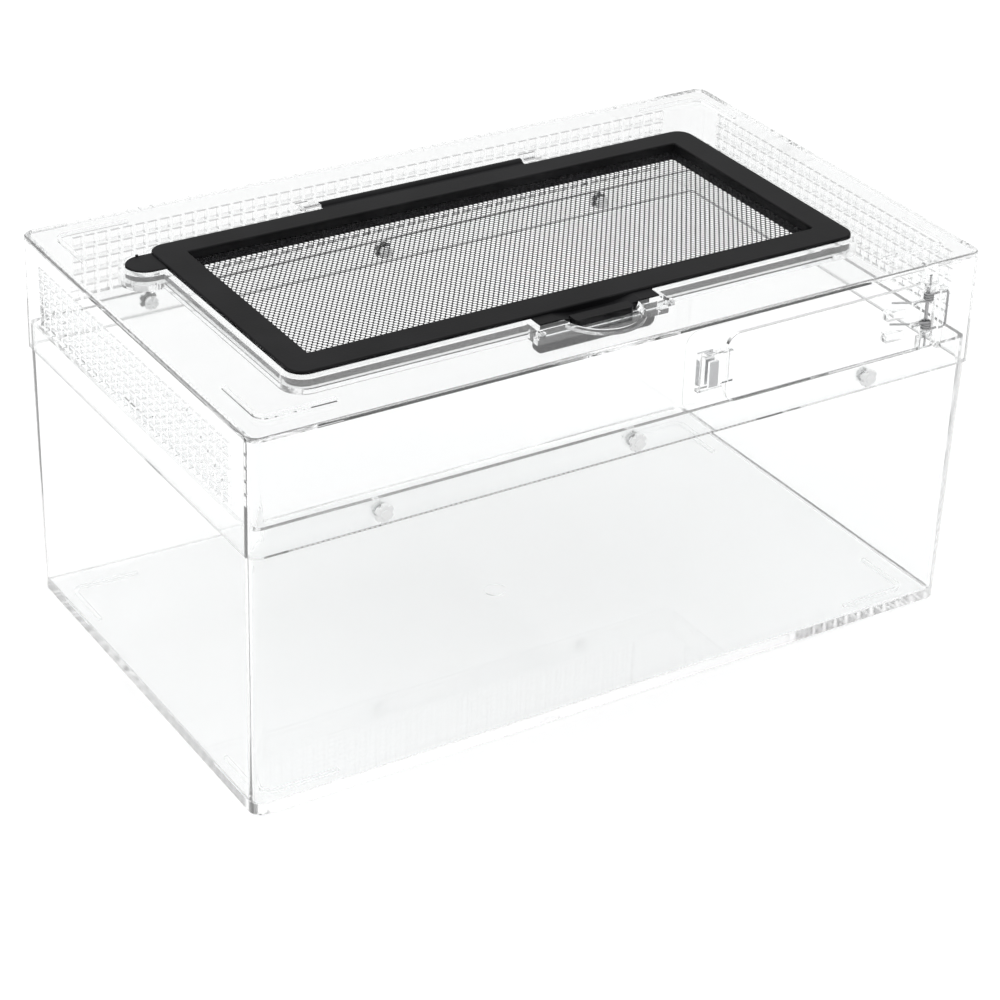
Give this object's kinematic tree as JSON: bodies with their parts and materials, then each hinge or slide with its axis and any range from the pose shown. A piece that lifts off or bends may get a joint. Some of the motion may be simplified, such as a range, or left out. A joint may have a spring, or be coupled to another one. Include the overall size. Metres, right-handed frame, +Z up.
{
  "type": "reptile breeding box",
  "caption": "Clear reptile breeding box with a vented lid, a black framed net door on top and a small self-closing feeding door in front.",
  "frame": {"origin": "on the table under the middle of the box, midway along its length and its depth", "axes": "+X along the box towards the end with the feeding door's hinge, +Z up, and the front with the feeding door faces -Y"},
  "size_m": [0.32, 0.1951, 0.1592],
  "materials": {
    "clear_tub": "clear polished polystyrene",
    "clear_lid": "clear polished polystyrene",
    "clear_door": "clear polished polystyrene",
    "clear_rivet": "clear moulded plastic",
    "clear_rivet_pin": "clear moulded plastic",
    "black_frame": "satin black moulded plastic",
    "black_net": "matte black plastic net",
    "steel_pin": "drawn steel",
    "spring_wire": "drawn spring steel",
    "magnet_plate": "nickel plated"
  },
  "bodies": {
    "housing": {"base_tub": "clear_tub", "lid_cover": "clear_lid", "top_hinge_pin": "steel_pin", "front_hinge_pin": "steel_pin", "front_door_spring": "spring_wire", "wall_magnet": "magnet_plate", "rivet_front_left": "clear_rivet", "rivet_front_middle": "clear_rivet", "rivet_front_right": "clear_rivet", "rivet_back_left": "clear_rivet", "rivet_back_middle": "clear_rivet", "rivet_back_right": "clear_rivet", "rivet_pin_front_left": "clear_rivet_pin", "rivet_pin_front_middle": "clear_rivet_pin", "rivet_pin_front_right": "clear_rivet_pin", "rivet_pin_back_left": "clear_rivet_pin", "rivet_pin_back_middle": "clear_rivet_pin", "rivet_pin_back_right": "clear_rivet_pin"},
    "top_door": {"top_door_upper_frame": "black_frame", "top_door_lower_frame": "black_frame", "top_door_net": "black_net", "front_latch_plate": "black_frame"},
    "feeding_door": {"front_door_panel": "clear_door", "front_door_magnet": "magnet_plate"}
  },
  "joints": [
    {"name": "top_door_hinge", "type": "hinge", "parent": "housing", "child": "top_door", "pos_m": [0, 0.0628, 0.157], "axis": [-1, 0, 0], "range_deg": [0, 110]},
    {"name": "feeding_door_hinge", "type": "hinge", "parent": "housing", "child": "feeding_door", "pos_m": [0.135, -0.0936, 0.1377], "axis": [0, 0, 1], "range_deg": [0, 100], "stiffness_Nm_per_rad": 0.002, "springref_deg": -28.65}
  ]
}
